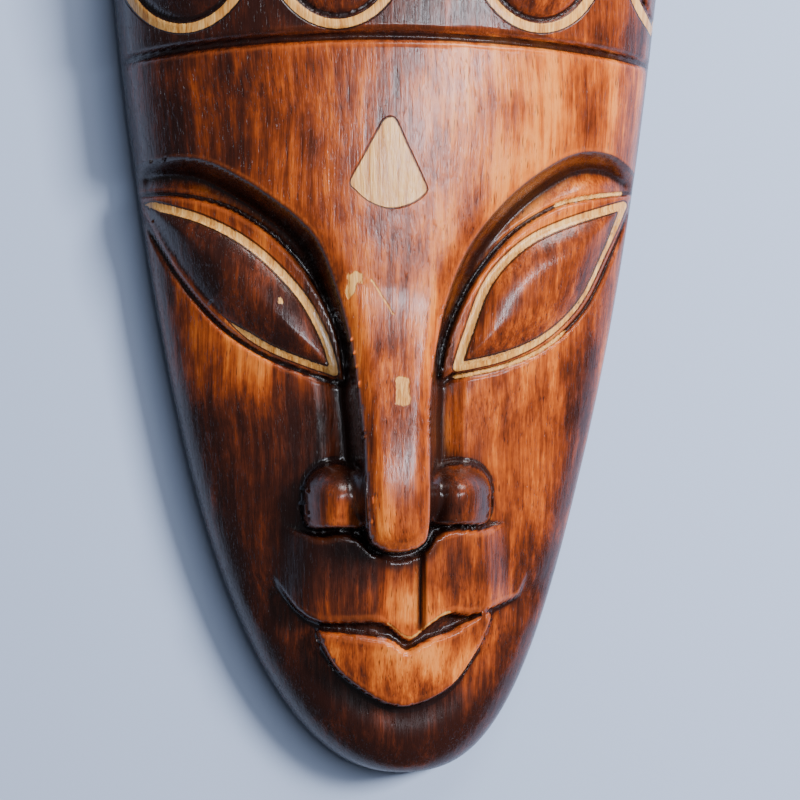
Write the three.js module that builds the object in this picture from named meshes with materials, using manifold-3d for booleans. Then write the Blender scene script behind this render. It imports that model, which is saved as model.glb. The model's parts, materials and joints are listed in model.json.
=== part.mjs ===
// A carved wooden wall mask, lying on its back: a long narrow face with slanted closed eyes under a crown of
// looped ornament, cut from one block of wood and hollowed from behind. Millimetres, +Z out of the face, +Y towards
// the crown, origin under the middle of the mask, on the plane that its back rim rests on.
import * as THREE from "three";
import { mergeVertices } from "three/addons/utils/BufferGeometryUtils.js";
import Module from "manifold-3d";

const wasm = await Module();
wasm.setup();

// The block: chin to crown top, side to side, and how high the face stands over its own edge
const MASK_LENGTH = 380;
const MASK_WIDTH = 182;
const EDGE_THICKNESS = 9;
const FOREHEAD_RISE = 44;
const FACE_RISE = 31;
const NOSE_RISE = 11;
const CHIN_LEAN = 5.5;

// The outline: where it is widest, as a share of the length from the chin, and how it closes at either end
const WIDEST_SHARE = 0.7237;
const CHIN_CURVE = { power: 1.22, roundness: 0.4 };
const CROWN_CURVE = { power: 2.2, roundness: 0.5 };
const LEAN_SHARE = 0.2763;
const CREST_FALL = 0.6;

// The back: what the hollow leaves of the wood, and the slot that a hook or a nail's head goes behind
const WALL_THICKNESS = 12;
const RIM_WIDTH = 12;
const HOLLOW_ROUNDNESS = 0.6;
const HOLLOW_END_FILL = 1.6;
const SLOT_WIDTH = 16;
const SLOT_HEIGHT = 8;
const SLOT_LIP = 4;
const SLOT_INTO_RIM = 5;
const SLOT_INTO_HOLLOW = 14;

// The carving is drawn on a pattern of this size, and stretched with the block
const PATTERN_LENGTH = 380;
const PATTERN_WIDTH = 182;

// Brows: the edge between the forehead, which runs down into the nose, and the face, from the nose tip up
const BROW_RIGHT = [
  [1.4, -115], [7.5, -113.5], [10.6, -108], [10.9, -86], [11, -70], [13.2, -51.5], [17.4, -33.5],
  [24.8, -17.1], [38.6, -1], [56.2, 10.8], [70, 12.6], [81, 8], [94, 1],
];
const BROW_LEFT = [
  [1.4, -115], [-4.5, -113.8], [-8, -108.5], [-9, -86.4], [-10.2, -72], [-12.7, -53.4], [-17.5, -33.5],
  [-24.6, -16.1], [-38.4, -3.3], [-56.4, 7.6], [-68, 10.3], [-80, 9.6], [-94, 6],
];
const BROW_WALL = { width: 5.4, steepness: 1.5 };
const WALL_BY_EYES = { narrowing: 3.2, from: -28, full: -52, to: -68 };
const WALL_AT_TIP = { narrowing: 3.4, from: -98, full: -109 };
const BROW_CHANNEL = { depth: 3.2, width: 13, fadeFrom: -113, fadeTo: -100 };
const NOSE_CHANNEL = { width: 14, from: -20, full: -60 };
const NOSE_SWELL = { from: -30, full: -105 };
const NOSE_ROUNDING = { drop: 2.2, reach: 6, from: 10, full: -60 };

// Eyes: the pale band's line over and under each closed lid, and the lid's rim, from the outer corner in
const EYES = [
  {
    band: [[-79, -3.8], [-60.1, -9.6], [-44, -18.8], [-29.7, -33.1], [-21.7, -47.1], [-18.2, -58.5]],
    under: [[-79, -3.8], [-66.9, -24.7], [-54, -40.2], [-40.6, -49.8], [-27, -55.6], [-18.2, -58.5]],
    rim: [
      [-80.4, -2], [-66.2, -2.9], [-51.5, -7.2], [-37.5, -16.5], [-26.6, -28.8], [-18.7, -44.6], [-16, -60.3],
    ],
  },
  {
    band: [[77.6, -3.4], [56.3, -10.4], [42.2, -17.7], [30.9, -29.8], [24.1, -47], [21, -56.8]],
    under: [[77.6, -3.4], [70.5, -19.1], [61.9, -35.5], [50.1, -46.8], [36.1, -53.4], [21, -56.8]],
    rim: [[80.5, -0.5], [63, -3.4], [52.5, -6.7], [39.1, -15.6], [27.3, -29.8], [19.2, -47], [16.5, -59.9]],
  },
];
const BAND_WIDTH = 2.6;
const EYE_RAISE = 1.2;
const EYE_BULGE = { height: 4.2, reach: 12 };
const EYE_GROOVE = { depth: 2.2, width: 2.8 };
const EYE_WALL = 1.4;

// Nostrils: a rounded block on either side of the nose, cut flat below
const NOSTRILS = [
  { x: -17.8, y: -98.5, halfWidth: 9.3, halfHeight: 9.8 },
  { x: 21.6, y: -98, halfWidth: 9.6, halfHeight: 9.2 },
];
const NOSTRIL = { arch: 1.2, raise: 15, sideFall: 7, topFall: 8.5, footFall: 1, wall: 1.8 };

// The mouth: the raised field between nose and lip, the channel down its middle, and the lower lip
const MUZZLE_TOP = [
  [-46, -101], [-32.9, -107.5], [-23.4, -110.1], [-16.3, -109], [-10.9, -110.7], [-5.6, -115.2], [2.7, -117.5],
  [11, -114.6], [14.6, -109.8], [21.7, -107.6], [31.2, -107.8], [43.7, -105.1], [52, -102],
];
const MUZZLE = { left: -36, right: 39, flare: 0.12, raise: 6, softSide: 13, softTop: 1.6 };
const PHILTRUM = { left: -5.5, right: 11.2, depth: 3.2, softSide: 5.5, crispSide: 1.8 };
const UPPER_LIP = [
  [-38, -122], [-34, -128.9], [-29.1, -134.8], [-22.8, -138], [-13.4, -138.1], [-2.6, -138.4], [5.8, -143.9],
  [12.4, -138.9], [18.6, -135.4], [26.4, -136], [36.4, -132.4], [42, -130],
];
const LOWER_LIP = [
  [-22.8, -142.4], [-7.4, -143.8], [-0.2, -145.4], [4.9, -148.5], [10.9, -145.7], [20.2, -142.1], [31.3, -136.4],
  [30, -143], [26.5, -149.5], [19.3, -159], [8.8, -164.6], [-0.5, -164.6], [-11.7, -158.1], [-18.3, -151.3],
];
const MOUTH = { halfWidth: 31, x: 3, softEnd: 6, from: 4, full: 12, foot: -150, softFoot: 4, depth: 0.8 };
const LIP_RAISE = 5.5;
const LIP_WALL = 1.5;
const VALLEY = { depth: 2.4, width: 14, from: -121, full: -134 };

// The crown: a step and a groove across the forehead, with rows of loops above it, smaller towards the top
const CROWN = { from: 47.2, sag: 5.4, raise: 2.2, grooveDepth: 2.8, grooveWidth: 4.4 };
const LOOP_ROWS = [
  { foot: 49, centres: [-65.9, -18.2, 46, 97], halfWidth: 23, halfHeight: 29 },
  { foot: 92, centres: [-77, -40, 15, 71.5], halfWidth: 19, halfHeight: 24 },
  { foot: 131, centres: [-52, -12.5, 43.5], halfWidth: 15.5, halfHeight: 19 },
];
const LOOP = { band: 2.9, grooveDepth: 1.8, grooveWidth: 2.8, bulge: 1.6, reach: 9, narrowing: 0.3 };

// How finely the carving is faceted: the finest grid that it may use, and the error that it may leave
const FINEST_CELLS = [220, 320];
const HOLLOW_CELLS = [60, 80];
const CELLS_PER_EDGE_POINT = 4;
const FACET_ERROR = 0.4;

const clamp = (value, low, high) => Math.min(Math.max(value, low), high);
const blend = (a, b, share) => a + (b - a) * share;

/** Runs from 0 at start to 1 at end, level at both. */
function smooth(start, end, value) {
  const t = clamp((value - start) / (end - start), 0, 1);
  return t * t * (3 - 2 * t);
}

/** A gouged channel's share of its full depth: deepest at its foot, and nothing at its width. */
function gouge(distance, foot, width) {
  return smooth(0, foot, distance) * smooth(width, foot, distance);
}

/** A V-cut's share of its full depth. */
function veeCut(distance, width) {
  return Math.max(0, 1 - Math.abs((2 * distance) / width - 1));
}

/** Points along a smooth line through the given ones. */
function smoothLine(points, perSpan = 6) {
  const curve = new THREE.SplineCurve(points.map(([x, y]) => new THREE.Vector2(x, y)));
  return curve.getPoints(perSpan * (points.length - 1)).map((p) => [p.x, p.y]);
}

/** How far a point lies inside a closed outline; negative outside it. */
function depthInside(outline, x, y) {
  let nearest = Infinity;
  let inside = false;
  for (let i = 0, j = outline.length - 1; i < outline.length; j = i++) {
    const [ax, ay] = outline[j];
    const [bx, by] = outline[i];
    const dx = bx - ax;
    const dy = by - ay;
    const along = clamp(((x - ax) * dx + (y - ay) * dy) / (dx * dx + dy * dy || 1), 0, 1);
    nearest = Math.min(nearest, Math.hypot(x - ax - along * dx, y - ay - along * dy));
    if (ay > y !== by > y && x < ax + ((y - ay) * dx) / dy) inside = !inside;
  }
  return inside ? nearest : -nearest;
}

/** The height of a line, given by its points from left to right, at x. */
function lineHeight(line, x) {
  const next = line.findIndex(([px]) => px >= x);
  if (next <= 0) return line[next < 0 ? line.length - 1 : 0][1];
  const [ax, ay] = line[next - 1];
  const [bx, by] = line[next];
  return blend(ay, by, (x - ax) / (bx - ax));
}

const ACROSS = MASK_WIDTH / PATTERN_WIDTH;
const ALONG = MASK_LENGTH / PATTERN_LENGTH;
const WIDEST_Y = (WIDEST_SHARE - 0.5) * MASK_LENGTH;

/** Half the mask's width at y, or the width of an outline set in from it all round. */
function halfWidth(y, inset = 0) {
  const toChin = y < WIDEST_Y;
  const end = (toChin ? -1 : 1) * (MASK_LENGTH / 2 - inset);
  const { power, roundness } = toChin ? CHIN_CURVE : CROWN_CURVE;
  const share = clamp((y - WIDEST_Y) / (end - WIDEST_Y), 0, 1);
  return (MASK_WIDTH / 2 - inset) * Math.max(0, 1 - share ** power) ** roundness;
}

/** The outline's middle, which leans to one side towards the chin. */
function middle(y) {
  const reach = LEAN_SHARE * MASK_LENGTH;
  return CHIN_LEAN * clamp((reach - MASK_LENGTH / 2 - y) / reach, 0, 1) ** 2;
}

/** The plain swell of the block before it is carved. */
function dome(x, y, rise) {
  const width = halfWidth(y);
  if (width < 0.01) return EDGE_THICKNESS;
  const off = (x - middle(y)) / width;
  const crest = rise * ((2 * width) / MASK_WIDTH) ** CREST_FALL;
  return EDGE_THICKNESS + crest * Math.sqrt(Math.max(0, 1 - off * off));
}

const FAR_ABOVE = 400;
const foreheadOutline = [
  ...smoothLine(BROW_RIGHT),
  [FAR_ABOVE, FAR_ABOVE],
  [-FAR_ABOVE, FAR_ABOVE],
  ...smoothLine(BROW_LEFT).reverse(),
];
const eyeOutlines = EYES.map(({ band, under, rim }) => {
  const below = smoothLine(under).reverse();
  return { band: [...smoothLine(band), ...below], lid: [...smoothLine(rim), ...below] };
});
const upperLip = smoothLine(UPPER_LIP);
const lowerLip = smoothLine([...LOWER_LIP, LOWER_LIP[0]]);
const nostrilOutlines = NOSTRILS.map(nostrilOutline);
const muzzleTop = smoothLine(MUZZLE_TOP);
const muzzleOutline = [...[...muzzleTop].reverse(), ...upperLip];
const loopOutlines = LOOP_ROWS.flatMap((row) => row.centres.map((x) => loopOutline(x, row)));

/** A nostril seen from the front: round above, squarer below, and cut in a slight arch at its foot. */
function nostrilOutline({ x, y, halfWidth: reach, halfHeight }) {
  const steps = 40;
  return Array.from({ length: steps }, (_, i) => {
    const angle = (2 * Math.PI * i) / steps;
    const power = 2 / (Math.sin(angle) > 0 ? 2.4 : 6);
    const part = (value) => Math.sign(value) * Math.abs(value) ** power;
    const side = part(Math.cos(angle));
    const arch = Math.sin(angle) < 0 ? NOSTRIL.arch * (1 - side * side) : 0;
    return [x + reach * side, y + halfHeight * part(Math.sin(angle)) + arch];
  });
}

/** One loop of the crown: an oval that narrows towards its top. */
function loopOutline(x, { foot, halfWidth: reach, halfHeight }) {
  const steps = 48;
  return Array.from({ length: steps }, (_, i) => {
    const angle = (2 * Math.PI * i) / steps;
    const up = Math.sin(angle);
    const narrow = 1 - LOOP.narrowing * Math.max(0, up) ** 2;
    return [x + reach * narrow * Math.cos(angle), foot + halfHeight * (1 + up)];
  });
}

/** The forehead and the nose, one surface, rounder at its edges where it narrows to the nose. */
function foreheadHeight(x, y, py, inside) {
  const { drop, reach, from, full } = NOSE_ROUNDING;
  const round = clamp(1 - inside / reach, 0, 1) ** 2 * smooth(from, full, py);
  return dome(x, y, FOREHEAD_RISE) + NOSE_RISE * smooth(NOSE_SWELL.from, NOSE_SWELL.full, py) - drop * round;
}

/** The sunken face, with the channel that is cut along the brow and the nose. */
function faceHeight(x, y, py, outsideBrow) {
  const width = blend(BROW_CHANNEL.width, NOSE_CHANNEL.width, smooth(NOSE_CHANNEL.from, NOSE_CHANNEL.full, py));
  const fade = smooth(BROW_CHANNEL.fadeFrom, BROW_CHANNEL.fadeTo, py);
  return dome(x, y, FACE_RISE) - BROW_CHANNEL.depth * gouge(outsideBrow, BROW_WALL.width, width) * fade;
}

/** How much of the forehead's height is left on the wall outside its edge. */
function browWall(py, outsideBrow) {
  const { from, full, to } = WALL_BY_EYES;
  const byEyes = smooth(from, full, py) * smooth(to, full, py);
  const atTip = smooth(WALL_AT_TIP.from, WALL_AT_TIP.full, py);
  const width = BROW_WALL.width - WALL_BY_EYES.narrowing * byEyes - WALL_AT_TIP.narrowing * atTip;
  return (1 - clamp(outsideBrow / width, 0, 1)) ** BROW_WALL.steepness;
}

function withEyes(height, plain, px, py) {
  let made = height;
  for (const { band, lid } of eyeOutlines) {
    const inBand = depthInside(band, px, py);
    const inLid = Math.max(depthInside(lid, px, py), inBand + BAND_WIDTH / 2);
    if (inLid < -EYE_GROOVE.width) continue;
    const roundness = 1 - clamp(inBand / EYE_BULGE.reach, 0, 1);
    const top = plain + EYE_RAISE + EYE_BULGE.height * (1 - roundness * roundness);
    made -= EYE_GROOVE.depth * veeCut(-inLid, EYE_GROOVE.width);
    made = blend(made, top, smooth(-EYE_WALL, 0, inLid));
  }
  return made;
}

function withNostrils(height, plain, px, py) {
  let made = height;
  NOSTRILS.forEach((nostril, i) => {
    const inside = depthInside(nostrilOutlines[i], px, py);
    if (inside < -NOSTRIL.wall) return;
    const side = (px - nostril.x) / nostril.halfWidth;
    const up = (py - nostril.y) / nostril.halfHeight;
    const fall = NOSTRIL.sideFall * side * side + (up > 0 ? NOSTRIL.topFall : NOSTRIL.footFall) * up * up;
    const top = Math.max(height, plain + NOSTRIL.raise - fall);
    made = blend(made, top, smooth(-NOSTRIL.wall, 0, inside));
  });
  return made;
}

function withMouth(height, plain, px, py) {
  const down = lineHeight(muzzleTop, px) - py;
  if (down < -MUZZLE.softTop) return height;
  const inLip = depthInside(lowerLip, px, py);
  const outside = -Math.max(depthInside(muzzleOutline, px, py), inLip);
  const valley = gouge(outside, LIP_WALL, VALLEY.width) * smooth(VALLEY.from, VALLEY.full, py);
  let made = height - VALLEY.depth * valley;
  const fromEnd = MOUTH.halfWidth - Math.abs(px - MOUTH.x);
  const inMouth = smooth(0, MOUTH.softEnd, fromEnd) * smooth(MOUTH.foot, MOUTH.foot + MOUTH.softFoot, py);
  made = blend(made, plain - MOUTH.depth, inMouth * smooth(MOUTH.from, MOUTH.full, down));
  const fromSide = Math.min(px - MUZZLE.left, MUZZLE.right - px) + MUZZLE.flare * down;
  const { left, right, softSide, crispSide } = PHILTRUM;
  const philtrum = smooth(left, left + softSide, px) * smooth(right, right - crispSide, px);
  const field = plain + MUZZLE.raise * smooth(0, MUZZLE.softSide, fromSide) - PHILTRUM.depth * philtrum;
  const aboveLip = smooth(-LIP_WALL, 0, py - lineHeight(upperLip, px)) * smooth(-1, 2, fromSide);
  made = blend(made, Math.max(plain, field), aboveLip * smooth(0, MUZZLE.softTop, down));
  return blend(made, plain + LIP_RAISE, smooth(-LIP_WALL, 0, inLip));
}

function withCrown(height, px, py) {
  const up = py - CROWN.from + CROWN.sag * ((2 * px) / PATTERN_WIDTH) ** 2;
  if (up < -CROWN.grooveWidth) return height;
  const groove = CROWN.grooveDepth * veeCut(up + CROWN.grooveWidth / 2, CROWN.grooveWidth);
  let made = height + CROWN.raise * smooth(0, CROWN.grooveWidth / 2, up) - groove;
  for (const outline of loopOutlines) {
    const inside = depthInside(outline, px, py) - LOOP.band;
    if (inside < 0) continue;
    made += LOOP.bulge * smooth(LOOP.grooveWidth, LOOP.reach, inside);
    made -= LOOP.grooveDepth * veeCut(inside, LOOP.grooveWidth);
  }
  return made;
}

/** How high the carved front stands over the back rim at one place. */
function carvedHeight(x, y) {
  const px = x / ACROSS;
  const py = y / ALONG;
  const inForehead = depthInside(foreheadOutline, px, py);
  const plain = dome(x, y, FACE_RISE);
  const edge = clamp((plain - EDGE_THICKNESS) / EDGE_THICKNESS, 0, 1);
  let face = faceHeight(x, y, py, -inForehead);
  face = withEyes(face, plain, px, py);
  face = withMouth(face, plain, px, py);
  face = withNostrils(face, plain, px, py);
  const forehead = foreheadHeight(x, y, py, inForehead);
  const carved = withCrown(blend(face, forehead, browWall(py, -inForehead)), px, py);
  return blend(plain, carved, edge);
}

/** Where a point of a square, from -1 to 1 each way, falls inside the mask's outline. */
function squareToOutline(u, v, inset = 0) {
  const across = u * Math.sqrt(1 - (v * v) / 2);
  const up = v * Math.sqrt(1 - (u * u) / 2);
  const y = up * (MASK_LENGTH / 2 - inset);
  const reach = Math.sqrt(Math.max(1e-9, 1 - up * up));
  return [middle(y) + clamp(across / reach, -1, 1) * halfWidth(y, inset), y];
}

/** The grid point that lies farthest off a facet of three others, and by how much. */
function worstPoint([a, b, c], positions, grid) {
  const [from, to, apex] = [a, b, c].map((i) => new THREE.Vector3().fromArray(positions, 3 * i));
  const normal = to.sub(from).cross(apex.sub(from)).normalize();
  const [ca, cb, cc] = [a, b, c].map(grid.place);
  const [lowX, highX] = [Math.min(ca[0], cb[0], cc[0]), Math.max(ca[0], cb[0], cc[0])];
  const [lowY, highY] = [Math.min(ca[1], cb[1], cc[1]), Math.max(ca[1], cb[1], cc[1])];
  let worst = -1;
  let most = 0;
  for (let j = lowY; j <= highY; j++)
    for (let i = lowX; i <= highX; i++) {
      const at = [i, j];
      if (turn(ca, cb, at) < 0 || turn(cb, cc, at) < 0 || turn(cc, ca, at) < 0) continue;
      const point = j * grid.row + i;
      const [dx, dy, dz] = [0, 1, 2].map((k) => positions[3 * point + k] - positions[3 * a + k]);
      const off = Math.abs(dx * normal.x + dy * normal.y + dz * normal.z);
      if (off > most) [worst, most] = [point, off];
    }
  return [worst, most];
}

/** Twice the area of a triangle in the grid; positive when it turns to the left. */
function turn([ax, ay], [bx, by], [cx, cy]) {
  return (bx - ax) * (cy - ay) - (by - ay) * (cx - ax);
}

/** Whether d lies in the circle through a, b and c. */
function inCircle(a, b, c, d) {
  const [[ax, ay], [bx, by], [cx, cy]] = [a, b, c].map(([x, y]) => [x - d[0], y - d[1]]);
  const [al, bl, cl] = [ax * ax + ay * ay, bx * bx + by * by, cx * cx + cy * cy];
  return al * (bx * cy - by * cx) - bl * (ax * cy - ay * cx) + cl * (ax * by - ay * bx) > 1e-9;
}

/** Facets over a grid of points: the ring round its edge first, then each point that still lies off them. */
function facets(positions, across, along, stretch, allowed) {
  const row = across + 1;
  const place = (i) => [i % row, Math.floor(i / row)];
  const spread = (i) => [(i % row) * stretch, Math.floor(i / row)];
  const third = new Map();
  const key = (a, b) => a * row * (along + 1) + b;
  let fresh = [];
  const add = (a, b, c) => {
    third.set(key(a, b), c).set(key(b, c), a).set(key(c, a), b);
    fresh.push([a, b, c]);
  };
  const remove = (a, b, c) => [key(a, b), key(b, c), key(c, a)].forEach((side) => third.delete(side));
  const join = (p, a, b) => {
    const q = third.get(key(b, a));
    const flat = turn(place(p), place(a), place(b)) === 0;
    if (q !== undefined && (flat || inCircle(spread(p), spread(a), spread(b), spread(q)))) {
      remove(b, a, q);
      join(p, a, q);
      join(p, q, b);
    } else if (!flat) add(p, a, b);
  };
  const insert = (p, [a, b, c]) => {
    remove(a, b, c);
    join(p, a, b);
    join(p, b, c);
    join(p, c, a);
  };
  const last = row * (along + 1) - 1;
  add(0, across, last);
  add(0, last, last - across);
  const ring = [];
  const step = CELLS_PER_EDGE_POINT;
  for (let k = step; k < along; k += step) ring.push(k * row, k * row + across);
  for (let k = step; k < across; k += step) ring.push(k, last - k);
  for (const point of ring) {
    const holds = ([a, b, c]) =>
      third.get(key(a, b)) === c &&
      [[a, b], [b, c], [c, a]].every(([m, n]) => turn(place(m), place(n), place(point)) >= 0);
    insert(point, fresh.find(holds));
  }
  const stands = ([a, b, c]) => third.get(key(a, b)) === c;
  let kept = fresh;
  for (let limit = 32 * allowed; limit >= allowed; limit /= 2) {
    let waiting = kept;
    kept = [];
    while (waiting.length) {
      fresh = [];
      for (const facet of waiting.filter(stands)) {
        if (!stands(facet)) continue;
        const [worst, off] = worstPoint(facet, positions, { row, place });
        if (off > limit) insert(worst, facet);
        else kept.push(facet);
      }
      waiting = fresh;
    }
  }
  return kept.filter(stands).flat();
}

/** A surface over the mask's outline as a closed body, down to a flat foot. */
function bodyUnder(height, cells, inset, foot) {
  const [across, along] = cells;
  const plane = new THREE.PlaneGeometry(2, -2, across, along);
  const points = plane.getAttribute("position");
  for (let i = 0; i < points.count; i++) {
    const [x, y] = squareToOutline(points.getX(i), points.getY(i), inset);
    points.setXYZ(i, x, y, height(x, y));
  }
  const top = facets(points.array, across, along, (MASK_WIDTH / across) * (along / MASK_LENGTH), FACET_ERROR);
  const edges = new Map();
  for (let i = 0; i < top.length; i += 3)
    for (const [a, b] of [[top[i], top[i + 1]], [top[i + 1], top[i + 2]], [top[i + 2], top[i]]])
      if (!edges.delete(`${b},${a}`)) edges.set(`${a},${b}`, [a, b]);
  const corners = top.map((i) => [points.getX(i), points.getY(i), points.getZ(i)]);
  for (const [a, b] of edges.values()) {
    const [upA, upB] = [a, b].map((i) => [points.getX(i), points.getY(i), points.getZ(i)]);
    const [lowA, lowB] = [upA, upB].map(([x, y]) => [x, y, foot]);
    corners.push(upB, upA, lowA, upB, lowA, lowB, lowB, lowA, [0, 0, foot]);
  }
  const body = new THREE.BufferGeometry();
  body.setAttribute("position", new THREE.BufferAttribute(new Float32Array(corners.flat()), 3));
  return body;
}

/** A closed three.js geometry as a solid that can be cut. */
function toSolid(geometry) {
  const bare = geometry.clone();
  bare.deleteAttribute("normal");
  bare.deleteAttribute("uv");
  const merged = mergeVertices(bare, 1e-3);
  return new wasm.Manifold(
    new wasm.Mesh({
      numProp: 3,
      vertProperties: merged.getAttribute("position").array,
      triVerts: new Uint32Array(merged.index.array),
    }),
  );
}

function toGeometry(solid) {
  const { numProp, vertProperties, triVerts } = solid.getMesh();
  const geometry = new THREE.BufferGeometry();
  const stored = new THREE.InterleavedBuffer(new Float32Array(vertProperties), numProp);
  geometry.setAttribute("position", new THREE.InterleavedBufferAttribute(stored, 3, 0));
  geometry.setIndex(new THREE.BufferAttribute(new Uint32Array(triVerts), 1));
  const plain = geometry.toNonIndexed();
  plain.computeVertexNormals();
  return plain;
}

/** How deep the hollow reaches from the back at one place. */
function hollowHeight(x, y) {
  const width = halfWidth(y, RIM_WIDTH);
  if (width < 0.01) return 0;
  const crest = FACE_RISE * ((2 * halfWidth(y)) / MASK_WIDTH) ** CREST_FALL + EDGE_THICKNESS - WALL_THICKNESS;
  const off = (x - middle(y)) / width;
  const end = (2 * width) / (MASK_WIDTH - 2 * RIM_WIDTH);
  return crest * Math.max(0, 1 - off * off) ** HOLLOW_ROUNDNESS * Math.min(1, HOLLOW_END_FILL * end);
}

/** The slot inside the top of the rim, with a flat face that hangs on a hook. */
function hangingSlot() {
  const reach = SLOT_INTO_RIM + SLOT_INTO_HOLLOW;
  const slot = new THREE.BoxGeometry(SLOT_WIDTH, reach, SLOT_HEIGHT);
  const top = MASK_LENGTH / 2 - RIM_WIDTH + SLOT_INTO_RIM;
  return slot.translate(0, top - reach / 2, SLOT_LIP + SLOT_HEIGHT / 2);
}

function makeMask() {
  const below = 5;
  const block = toSolid(bodyUnder(carvedHeight, FINEST_CELLS, 0, 0));
  const hollow = toSolid(bodyUnder(hollowHeight, HOLLOW_CELLS, RIM_WIDTH, -below));
  const wood = new THREE.MeshStandardMaterial({ color: "#7a3216", roughness: 0.35, metalness: 0 });
  const mask = new THREE.Mesh(toGeometry(block.subtract(hollow).subtract(toSolid(hangingSlot()))), wood);
  mask.name = "mask";
  return mask;
}

const part = new THREE.Group();
part.add(makeMask());

export default part;
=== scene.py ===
# %% [markdown]
# A carved wooden mask
#
# The real object is a long narrow wall mask, cut with chisels and knives from one block of wood, stained
# reddish brown, scraped back to pale wood along a few lines, and varnished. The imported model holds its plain
# carved form. This lesson makes the same form again as one fine mesh, so that the knife work, the crisp edges
# and the scraped lines show, and gives it its stained, worn and glossy finish.

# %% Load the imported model
import json
import math

import bmesh
import bpy
import numpy as np
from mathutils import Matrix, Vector

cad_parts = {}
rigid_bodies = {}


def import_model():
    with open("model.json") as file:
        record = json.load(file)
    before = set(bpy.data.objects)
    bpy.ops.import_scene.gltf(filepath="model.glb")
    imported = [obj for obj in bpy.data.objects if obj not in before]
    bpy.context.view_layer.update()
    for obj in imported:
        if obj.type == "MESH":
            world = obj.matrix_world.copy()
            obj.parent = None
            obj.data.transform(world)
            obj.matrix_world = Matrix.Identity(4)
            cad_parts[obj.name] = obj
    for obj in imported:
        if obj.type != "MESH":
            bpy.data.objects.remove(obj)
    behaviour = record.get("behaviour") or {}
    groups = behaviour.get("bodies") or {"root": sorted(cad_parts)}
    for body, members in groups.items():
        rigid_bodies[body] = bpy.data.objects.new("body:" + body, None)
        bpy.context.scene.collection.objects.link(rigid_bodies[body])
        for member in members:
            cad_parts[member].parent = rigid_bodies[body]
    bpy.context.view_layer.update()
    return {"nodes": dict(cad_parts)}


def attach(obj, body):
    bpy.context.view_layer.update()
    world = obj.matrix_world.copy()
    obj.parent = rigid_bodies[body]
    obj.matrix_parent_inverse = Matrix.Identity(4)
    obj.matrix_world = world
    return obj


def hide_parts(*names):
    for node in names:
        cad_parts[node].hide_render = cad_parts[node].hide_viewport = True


for thing in list(bpy.data.objects):
    bpy.data.objects.remove(thing)
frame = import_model()
MM = 0.001
print("nodes:", sorted(frame["nodes"]))

# %% [markdown]
# The camera
#
# A thing that hangs on a wall is looked at level, but this one lies on its back, so the camera hangs above it
# and looks straight down its face, four degrees from one side. A long lens from 0.9 m away keeps the
# gentle perspective of a close photograph, and the frame ends above the brow, as the picture does.

# %% Place the camera above the face
LOOK_AT = Vector((5.2, -67.3, 0.0)) * MM
LOOK_FROM_SIDE = math.radians(4)
DISTANCE = 0.9

camera = bpy.data.objects.new("camera", bpy.data.cameras.new("camera"))
bpy.context.scene.collection.objects.link(camera)
bpy.context.scene.camera = camera
camera.data.sensor_width = 36
camera.data.lens = 121.5
camera.data.clip_start = 0.01
camera.location = LOOK_AT + DISTANCE * Vector((-math.sin(LOOK_FROM_SIDE), 0, math.cos(LOOK_FROM_SIDE)))
camera.rotation_euler = (0, -LOOK_FROM_SIDE, 0)
print("camera at", [round(v, 3) for v in camera.location])

# %% [markdown]
# Helpers for the carving
#
# Carving is drawn on the face as closed outlines. How deep a point lies inside an outline tells how far it is
# from the carver's edge, and steps, gouges and V-cuts are simple functions of that distance. Numpy works them
# out for every vertex at once, which is quicker than a loop over the vertices.

# %% Measures of the block in millimetres
MASK_LENGTH = 380
MASK_WIDTH = 182
EDGE_THICKNESS = 9
FOREHEAD_RISE = 44
FACE_RISE = 31
NOSE_RISE = 11
CHIN_LEAN = 5.5
WIDEST_SHARE = 0.7237
CHIN_CURVE = (1.22, 0.4)
CROWN_CURVE = (2.2, 0.5)
LEAN_SHARE = 0.2763
CREST_FALL = 0.6
WALL_THICKNESS = 12
RIM_WIDTH = 12
HOLLOW_ROUNDNESS = 0.6
HOLLOW_END_FILL = 1.6
EDGE_BEVEL = 0.35
RIM_INSET = 1.2
SLOT_WIDTH = 16
SLOT_HEIGHT = 8
SLOT_LIP = 4
SLOT_INTO_RIM = 5
SLOT_INTO_HOLLOW = 14
WIDEST_Y = (WIDEST_SHARE - 0.5) * MASK_LENGTH


# %% Steps, gouges and cuts
def smooth(start, end, value):
    """Runs from 0 at start to 1 at end, level at both."""
    t = np.clip((value - start) / (end - start), 0, 1)
    return t * t * (3 - 2 * t)


def gouge(distance, foot, width):
    """A gouged channel's share of its full depth, deepest at its foot."""
    return smooth(0, foot, distance) * smooth(width, foot, distance)


def vee_cut(distance, width):
    """A V-cut's share of its full depth."""
    return np.maximum(0, 1 - np.abs(2 * distance / width - 1))


def mix(a, b, share):
    """Goes from a to b by a share."""
    return a + (b - a) * share


# %% Smooth lines and distances from them
NEAR = 14


def smooth_line(points, per_span=6):
    """Points along a smooth line through the given ones."""
    given = np.array(points, float)
    padded = np.vstack([given[:1], given, given[-1:]])
    line = []
    for k in range(len(given) - 1):
        p0, p1, p2, p3 = padded[k : k + 4]
        for t in np.arange(per_span) / per_span:
            v0 = (p2 - p0) / 2
            v1 = (p3 - p1) / 2
            bend = (2 * p1 - 2 * p2 + v0 + v1) * t**3
            line.append(bend + (-3 * p1 + 3 * p2 - 2 * v0 - v1) * t**2 + v0 * t + p1)
    return np.array(line + [given[-1]])


def distance_to(line, x, y):
    """How far each point lies from an open line."""
    nearest = np.full(x.shape, 1e9)
    for (ax, ay), (bx, by) in zip(line[:-1], line[1:]):
        dx, dy = bx - ax, by - ay
        along = np.clip(((x - ax) * dx + (y - ay) * dy) / (dx * dx + dy * dy or 1), 0, 1)
        nearest = np.minimum(nearest, np.hypot(x - ax - along * dx, y - ay - along * dy))
    return nearest


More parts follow.
